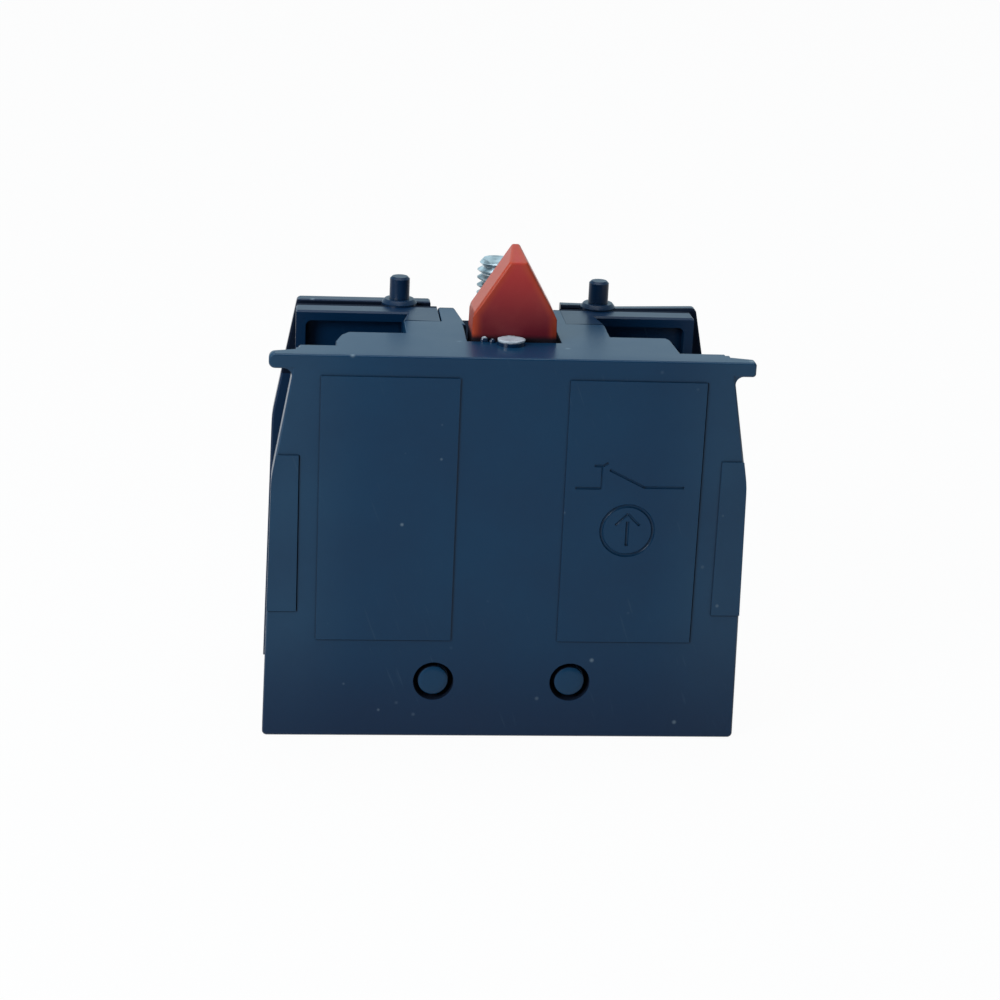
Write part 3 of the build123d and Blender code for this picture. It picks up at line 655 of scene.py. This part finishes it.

# Gate nib: the small shiny stump that the moulder's cutter leaves on the roof, right before the plunger,
# its cut top painted pale as stress-whitened plastic and as a painted highlight, with two torn crumbs
# beside it.
NIB_CUT_HIGHLIGHT = (0.50, 0.56, 0.62, 1)
NIB_ROUGH = 0.16
NIB_X = -0.06 * mm
NIB_Y = PLAIN_FACE + 3.18 * mm
NIB_HALF = (0.86 * mm, 0.76 * mm)
NIB_TOP = 0.36 * mm
NIB_SUNK = 0.1 * mm
NIB_CUT_Z = (roof_z + 0.7 * NIB_TOP, roof_z + 1.05 * NIB_TOP)
NIB_DISH = ((0.06 * mm, 0.03 * mm), (0.2 * mm, -0.02 * mm), (0.2 * mm, -0.03 * mm))
NIB_UNEVEN = 0.02 * mm
TORN_DEPTH = 0.1 * mm
nib_plastic, tree, skin = new_material("cut_nib")
point = add_node(tree, "ShaderNodeTexCoord").outputs["Object"]
rough = add_node(tree, "ShaderNodeTexNoise", Vector=point, Scale=5000.0)
torn = maths(tree, "MULTIPLY_ADD", rough.outputs["Fac"], TORN_DEPTH, point_on(tree)["Z"])
# The top is painted pale: stress-whitened cut plastic, and a painted highlight.
cut = ramp(tree, torn, *NIB_CUT_Z)
tree.links.new(mix_colour(tree, cut, PLASTIC, NIB_CUT_HIGHLIGHT), skin.inputs["Base Color"])
skin.inputs["Roughness"].default_value = NIB_ROUGH
bpy.ops.object.select_all(action="DESELECT")
bpy.ops.mesh.primitive_cylinder_add(
    vertices=48, radius=1, depth=NIB_TOP + NIB_SUNK, scale=(*NIB_HALF, 1),
    location=(NIB_X, NIB_Y, roof_z + (NIB_TOP - NIB_SUNK) / 2),
)
stump = bpy.context.active_object
stump.name = "gate_nib"
bpy.ops.object.transform_apply(location=True, rotation=True, scale=True)
bpy.ops.object.mode_set(mode="EDIT")
pick_faces(stump, lambda face: face.normal.z > 0.9)
for inset, sink in NIB_DISH:
    bpy.ops.mesh.inset(thickness=inset, depth=sink)
bpy.ops.object.mode_set(mode="OBJECT")
random.seed(7)
for vertex in stump.data.vertices:
    if vertex.co.z > roof_z:
        vertex.co.z += random.uniform(-NIB_UNEVEN, NIB_UNEVEN)
nib_parts = [stump]
for name, x, y, size in (
    ("gate_crumb", -1.68 * mm, PLAIN_FACE + 3.8 * mm, (0.26 * mm, 0.15 * mm, 0.34 * mm)),
    ("gate_bit", -1.2 * mm, PLAIN_FACE + 3.6 * mm, (0.2 * mm, 0.15 * mm, 0.26 * mm)),
):
    bpy.ops.mesh.primitive_uv_sphere_add(segments=32, ring_count=16, radius=1,
                                         location=(x, y, roof_z), scale=size)
    nib_parts.append(bpy.context.active_object)
    nib_parts[-1].name = name
    bpy.ops.object.transform_apply(location=True, rotation=True, scale=True)
for nib in nib_parts:
    take_up(nib)
    bpy.ops.object.shade_smooth_by_angle(angle=SMOOTH_ANGLE)
    nib.data.materials.append(nib_plastic)
    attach(nib, "housing")

# Plunger: the red wedge that the button's stem pushes, with its frame inside the block. Smooth red plastic,
# with painted shade deepening the red towards its foot and a painted glow making its edges and slopes more
# orange.
# Painted glow colour for the plunger's edges and slopes.
RED_EDGE_GLOW = (0.43, 0.054, 0.018, 1)
RED_CORE = (0.440, 0.038, 0.034, 1)
RED_SHADED = (0.100, 0.007, 0.017, 1)
RED_PALE = (0.50, 0.13, 0.09, 1)
# Painted shadow colour for the plunger's foot.
RED_FOOT_SHADE = (0.012, 0.008, 0.012, 1)
RED_ROUGH = 0.34
RED_GLOSS = 0.17
plunger_low, plunger_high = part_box("plunger")
plunger_middle = (plunger_low + plunger_high) / 2
PLUNGER_HALF = 2.71 * mm
HEAD_SHOULDER = roof_z + 1.79 * mm
HEAD_SLOPE = math.radians(58.6)
SHADED_RED_LOW = roof_z - 0.5 * mm
FOOT_SHADE_Z = (roof_z + 0.1 * mm, roof_z + 0.5 * mm)
GLOW_REACH = 0.8 * mm
plunger_plastic, tree, skin = new_material("plunger_plastic")
mottle = place_group(tree, mottle_group, Clouds=420.0)
dust = place_group(tree, dust_group, Share=0.05, Size=0.2)
place = point_on(tree)
aside = maths(tree, "ABSOLUTE", maths(tree, "SUBTRACT", place["X"], plunger_middle.x))
to_side = maths(tree, "SUBTRACT", PLUNGER_HALF, aside)
above = maths(tree, "SUBTRACT", place["Z"], HEAD_SHOULDER)
side_part = maths(tree, "MULTIPLY", to_side, math.sin(HEAD_SLOPE))
rise_part = maths(tree, "MULTIPLY", above, math.cos(HEAD_SLOPE))
to_edge = maths(tree, "MINIMUM", to_side, maths(tree, "SUBTRACT", side_part, rise_part))
# Painted shade: the red darkens towards the foot.
shade_climb = ramp(tree, place["Z"], SHADED_RED_LOW, plunger_high.z)
colour = mix_colour(tree, shade_climb, RED_SHADED, RED_CORE)
# Painted glow and painted light: the edges and slopes turn orange, as if lit through.
colour = mix_colour(tree, ramp(tree, to_edge, GLOW_REACH, 0.0), colour, RED_EDGE_GLOW)
colour = mix_colour(tree, ramp(tree, mottle["Clouds"], 0.35, 0.8, 0.0, 0.12), colour, RED_PALE)
colour = mix_colour(tree, dust["Mask"], colour, RED_PALE)
# Painted shadow: a dark band along the plunger's foot, where it meets the roof.
colour = mix_colour(tree, ramp(tree, place["Z"], *FOOT_SHADE_Z), RED_FOOT_SHADE, colour)
tree.links.new(colour, skin.inputs["Base Color"])
skin.inputs["Roughness"].default_value = RED_ROUGH
skin.inputs["Specular IOR Level"].default_value = RED_GLOSS
add_grain(tree, skin, mottle["Grain"], 0.08, 0.02 * mm)

# Its upright corners and its ridge are rounded, and its slopes lean in a little more
# than the CAD ones: how far is given at the shoulder and at the ridge.
GUIDE_LOW = roof_z - 6 * mm
GUIDE_CORNER_R = 0.36 * mm
RIDGE_R = 0.16 * mm
RIDGE_LEAST = 0.5 * mm
SLOPE_FROM = 26.1 * mm
SLOPE_BLEND = 0.65 * mm
LEFT_LEAN = (0.14 * mm, 0.24 * mm)
RIGHT_LEAN = (0.29 * mm, 0.09 * mm)
NEAR = 0.01 * mm


def round_edges(piece, wanted, radius):
    """Rounds the edges that a test wants, on a piece in edit mode with edges picked."""
    form = bmesh.from_edit_mesh(piece.data)
    for edge in form.edges:
        edge.select = wanted(edge)
    bmesh.update_edit_mesh(piece.data)
    bpy.ops.mesh.bevel(offset=radius, segments=4, affect="EDGES")


def is_guide_corner(edge):
    """Whether an edge is an upright corner of the plunger, at or above its guides."""
    start, end = (vertex.co for vertex in edge.verts)
    upright = (start.xy - end.xy).length < NEAR / 10
    corner = abs(abs(start.x - plunger_middle.x) - PLUNGER_HALF) < NEAR
    return upright and corner and min(start.z, end.z) > GUIDE_LOW and max(start.z, end.z) > roof_z


def is_ridge(edge):
    """Whether an edge runs along the plunger's top from front to back."""
    along = edge.verts[1].co - edge.verts[0].co
    level = abs(along.z) < NEAR and abs(along.x) < 2 * NEAR and along.length > RIDGE_LEAST
    return level and edge.verts[0].co.z > plunger_high.z - 5 * NEAR


wedge = merged_copy("plunger", "wedge_plunger")
bpy.ops.object.mode_set(mode="EDIT")
bpy.ops.mesh.select_mode(type="EDGE")
round_edges(wedge, is_guide_corner, GUIDE_CORNER_R)
bpy.ops.object.mode_set(mode="OBJECT")
for vertex in wedge.data.vertices:
    share = max(0.0, min(1.0, (vertex.co.z - SLOPE_FROM) / SLOPE_BLEND))
    rise = max(0.0, (vertex.co.z - HEAD_SHOULDER) / (plunger_high.z - HEAD_SHOULDER))
    if vertex.co.x < plunger_middle.x:
        vertex.co.x += share * (LEFT_LEAN[0] + (LEFT_LEAN[1] - LEFT_LEAN[0]) * rise)
    else:
        vertex.co.x -= share * (RIGHT_LEAN[0] + (RIGHT_LEAN[1] - RIGHT_LEAN[0]) * rise)
bpy.ops.object.mode_set(mode="EDIT")
round_edges(wedge, is_ridge, RIDGE_R)
bpy.ops.mesh.select_mode(type="VERT")
bpy.ops.object.mode_set(mode="OBJECT")
soften(wedge, EDGE_SOFT)
smooth(wedge)
wedge.data.materials.append(plunger_plastic)
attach(wedge, "plunger")
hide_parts("plunger")

# Fixing screw: captive M3 with a thin waist, threaded only at the tip that stands up
# behind the plunger. Zinc-plated steel, bright with dull clouds, and a plain washer.
ZINC = (0.66, 0.74, 0.78, 1)
ZINC_DULL = (0.12, 0.17, 0.20, 1)
THREAD_STEPS = 40
THREAD_TAPER = 0.36 * mm
SHANK_OVERLAP = 0.05 * mm
M3_PITCH = 0.5 * mm
FIXING_THREAD = 5.52 * mm
FIXING_THREAD_SHORT = 0.32 * mm


def make_metal(name, bright, dull, roughness):
    """Plated or drawn metal: dull clouds over bright, with fine drawn lines."""
    material, tree, skin = new_material(name)
    mottle = place_group(tree, mottle_group, Clouds=900.0)
    scratch = place_group(tree, scratch_group, Amount=0.6)
    cloud = ramp(tree, mottle["Clouds"], 0.35, 0.7, shape="LINEAR")
    colour = mix_colour(tree, cloud, bright, dull)
    colour = mix_colour(tree, scratch["Mask"], colour, bright)
    tree.links.new(colour, skin.inputs["Base Color"])
    worn = ramp(tree, mottle["Clouds"], 0.3, 0.7, roughness, roughness + 0.15, "LINEAR")
    tree.links.new(worn, skin.inputs["Roughness"])
    skin.inputs["Metallic"].default_value = 1.0
    add_grain(tree, skin, mottle["Grain"], 0.15, 0.01 * mm)
    return material


def add_thread(x, y, low, high, radius, pitch):
    """Solid screw thread with 60 degree flanks, cut flat at both ends, its tip tapered."""
    depth = 0.6 * pitch
    root = radius - depth
    flat = pitch / 8
    turns = math.ceil((high - low) / pitch) + 2
    profile = ((root, 0), (root, flat), (radius, pitch / 2), (radius, pitch / 2 + flat), (root, pitch))
    bpy.ops.object.select_all(action="DESELECT")
    bpy.ops.mesh.primitive_plane_add(size=1, location=(0, 0, 0))
    thread = bpy.context.active_object
    bpy.ops.object.mode_set(mode="EDIT")
    form = bmesh.from_edit_mesh(thread.data)
    bmesh.ops.delete(form, geom=form.verts[:], context="VERTS")
    points = [form.verts.new((out, 0, height)) for out, height in profile]
    for first, second in zip(points, points[1:]):
        form.edges.new((first, second))
    bmesh.update_edit_mesh(thread.data)
    bpy.ops.object.mode_set(mode="OBJECT")
    winding = thread.modifiers.new("winding", "SCREW")
    winding.steps = THREAD_STEPS
    winding.render_steps = THREAD_STEPS
    winding.screw_offset = pitch
    winding.iterations = turns
    winding.use_merge_vertices = False
    bpy.ops.object.modifier_apply(modifier=winding.name)
    bpy.ops.object.mode_set(mode="EDIT")
    bpy.ops.mesh.select_all(action="SELECT")
    bpy.ops.mesh.remove_doubles(threshold=pitch / 1000)
    bpy.ops.transform.translate(value=(x, y, low - pitch))
    for end, outward in ((low, -1), (high, 1)):
        bpy.ops.mesh.select_all(action="SELECT")
        bpy.ops.mesh.bisect(plane_co=(x, y, end), plane_no=(0, 0, outward), clear_outer=True)
    bpy.ops.mesh.select_all(action="SELECT")
    bpy.ops.mesh.fill_holes(sides=0)
    bpy.ops.mesh.select_all(action="SELECT")
    bpy.ops.mesh.normals_make_consistent(inside=False)
    bpy.ops.object.mode_set(mode="OBJECT")
    for vertex in thread.data.vertices:
        above = max(0.0, vertex.co.z - (high - THREAD_TAPER)) / THREAD_TAPER
        reach = Vector((vertex.co.x - x, vertex.co.y - y))
        most = radius - depth * above
        if reach.length > most:
            vertex.co.x = x + reach.x * most / reach.length
            vertex.co.y = y + reach.y * most / reach.length
    return thread


def threaded_screw(node, name, body, pitch, thread_low, short):
    """The node's screw, with a real thread in place of its smooth shank above a height."""
    low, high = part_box(node)
    shank_piece = merged_copy(node, name)
    x = (low.x + high.x) / 2
    y = (low.y + high.y) / 2
    radius = max(
        Vector((vertex.co.x - x, vertex.co.y - y)).length
        for vertex in shank_piece.data.vertices if vertex.co.z > thread_low
    )
    bpy.ops.object.mode_set(mode="EDIT")
    bpy.ops.mesh.select_all(action="SELECT")
    bpy.ops.mesh.bisect(plane_co=(x, y, thread_low + SHANK_OVERLAP), plane_no=(0, 0, 1), clear_outer=True)
    bpy.ops.mesh.select_all(action="SELECT")
    bpy.ops.mesh.fill_holes(sides=0)
    bpy.ops.object.mode_set(mode="OBJECT")
    soften(shank_piece, EDGE_SOFT)
    thread = add_thread(x, y, thread_low, high.z - short, radius, pitch)
    take_up(shank_piece)
    thread.select_set(True)
    bpy.ops.object.join()
    smooth(shank_piece)
    shank_piece.data.materials.clear()
    shank_piece.data.materials.append(zinc)
    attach(shank_piece, body)
    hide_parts(node)


zinc = make_metal("zinc_plate", ZINC, ZINC_DULL, 0.22)
screw_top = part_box("fixing_screw")[1].z
threaded_screw("fixing_screw", "captive_screw", "fixing_screw", M3_PITCH, screw_top - FIXING_THREAD,
               FIXING_THREAD_SHORT)
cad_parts["fixing_washer"].data.materials.clear()
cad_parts["fixing_washer"].data.materials.append(zinc)

# Springs: round drawn wire, wound open. The return spring stands on the housing's floor
# and closes up under the plunger; the contact spring holds the bridge up in its window.
STEEL = (0.55, 0.56, 0.58, 1)
STEEL_DULL = (0.25, 0.26, 0.28, 1)
WIRE_SIDES = 12
WIRE_STEPS = 36
spring_steel = make_metal("spring_steel", STEEL, STEEL_DULL, 0.25)
for node, body, wire, turns in (
    ("return_spring", "housing", 0.32 * mm, 4),
    ("contact_spring", "plunger", 0.2 * mm, 4),
):
    low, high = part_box(node)
    radius = (high.x - low.x - wire) / 2
    middle = (low + high) / 2
    bpy.ops.object.select_all(action="DESELECT")
    bpy.ops.mesh.primitive_circle_add(vertices=WIRE_SIDES, radius=wire / 2, location=(radius, 0, 0),
                                      rotation=(math.pi / 2, 0, 0))
    coil = bpy.context.active_object
    coil.name = node + "_wire"
    bpy.ops.object.transform_apply(location=True, rotation=True, scale=True)
    winding = coil.modifiers.new("winding", "SCREW")
    winding.steps = WIRE_STEPS
    winding.render_steps = WIRE_STEPS
    winding.screw_offset = (high.z - low.z - wire) / turns
    winding.iterations = turns
    bpy.ops.object.modifier_apply(modifier=winding.name)
    bpy.ops.object.mode_set(mode="EDIT")
    bpy.ops.mesh.select_all(action="SELECT")
    bpy.ops.mesh.fill_holes(sides=WIRE_SIDES)
    bpy.ops.mesh.select_all(action="SELECT")
    bpy.ops.mesh.normals_make_consistent(inside=False)
    bpy.ops.transform.translate(value=(middle.x, middle.y, low.z + wire / 2))
    bpy.ops.object.mode_set(mode="OBJECT")
    bpy.ops.object.shade_smooth_by_angle(angle=SMOOTH_ANGLE)
    coil.data.materials.append(spring_steel)
    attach(coil, body)
    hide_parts(node)
    if node == "return_spring":
        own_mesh(coil)

# Contacts: a pressed brass bridge and two bent brass strips, each with its silver tips,
# which are the heads of small rivets.
BRASS = (0.62, 0.43, 0.17, 1)
BRASS_DULL = (0.38, 0.25, 0.10, 1)
SILVER = (0.80, 0.79, 0.76, 1)
SILVER_DULL = (0.50, 0.49, 0.47, 1)
brass = make_metal("bright_brass", BRASS, BRASS_DULL, 0.24)
silver = make_metal("silver_tip", SILVER, SILVER_DULL, 0.2)
for node, body in (
    ("contact_bridge", "bridge"),
    ("fixed_contact_left", "housing"),
    ("fixed_contact_right", "housing"),
):
    strip = merged_copy(node, node + "_strip")
    soften(strip, EDGE_SOFT)
    smooth(strip)
    strip.data.materials.append(brass)
    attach(strip, body)
    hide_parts(node)
for node, body in (
    ("bridge_tip_left", "bridge"),
    ("bridge_tip_right", "bridge"),
    ("fixed_tip_left", "housing"),
    ("fixed_tip_right", "housing"),
):
    tip = merged_copy(node, node + "_rivet")
    soften(tip, 2 * EDGE_SOFT)
    smooth(tip)
    tip.data.materials.append(silver)
    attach(tip, body)
    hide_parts(node)

# Terminals: on each side an M3.5 screw, head down in the base, with a split washer and a
# square saddle that it draws up against the terminal plate.
TERMINAL_PITCH = 0.6 * mm
WASHER_CLEAR = 0.02 * mm
for side in ("left", "right"):
    head_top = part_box("spring_washer_" + side)[0].z
    threaded_screw("terminal_screw_" + side, f"terminal_screw_{side}_threaded", "terminal_screw_" + side,
                   TERMINAL_PITCH, head_top + WASHER_CLEAR, 0.0)
    for node, slot, metal in (
        ("spring_washer_", "spring_steel", spring_steel),
        ("wire_clamp_", "zinc_steel", zinc),
    ):
        plate = merged_copy(node + side, node + side + "_plate")
        soften(plate, EDGE_SOFT)
        smooth(plate)
        plate.data.materials.append(metal)
        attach(plate, "clamp_" + side)
        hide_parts(node + side)
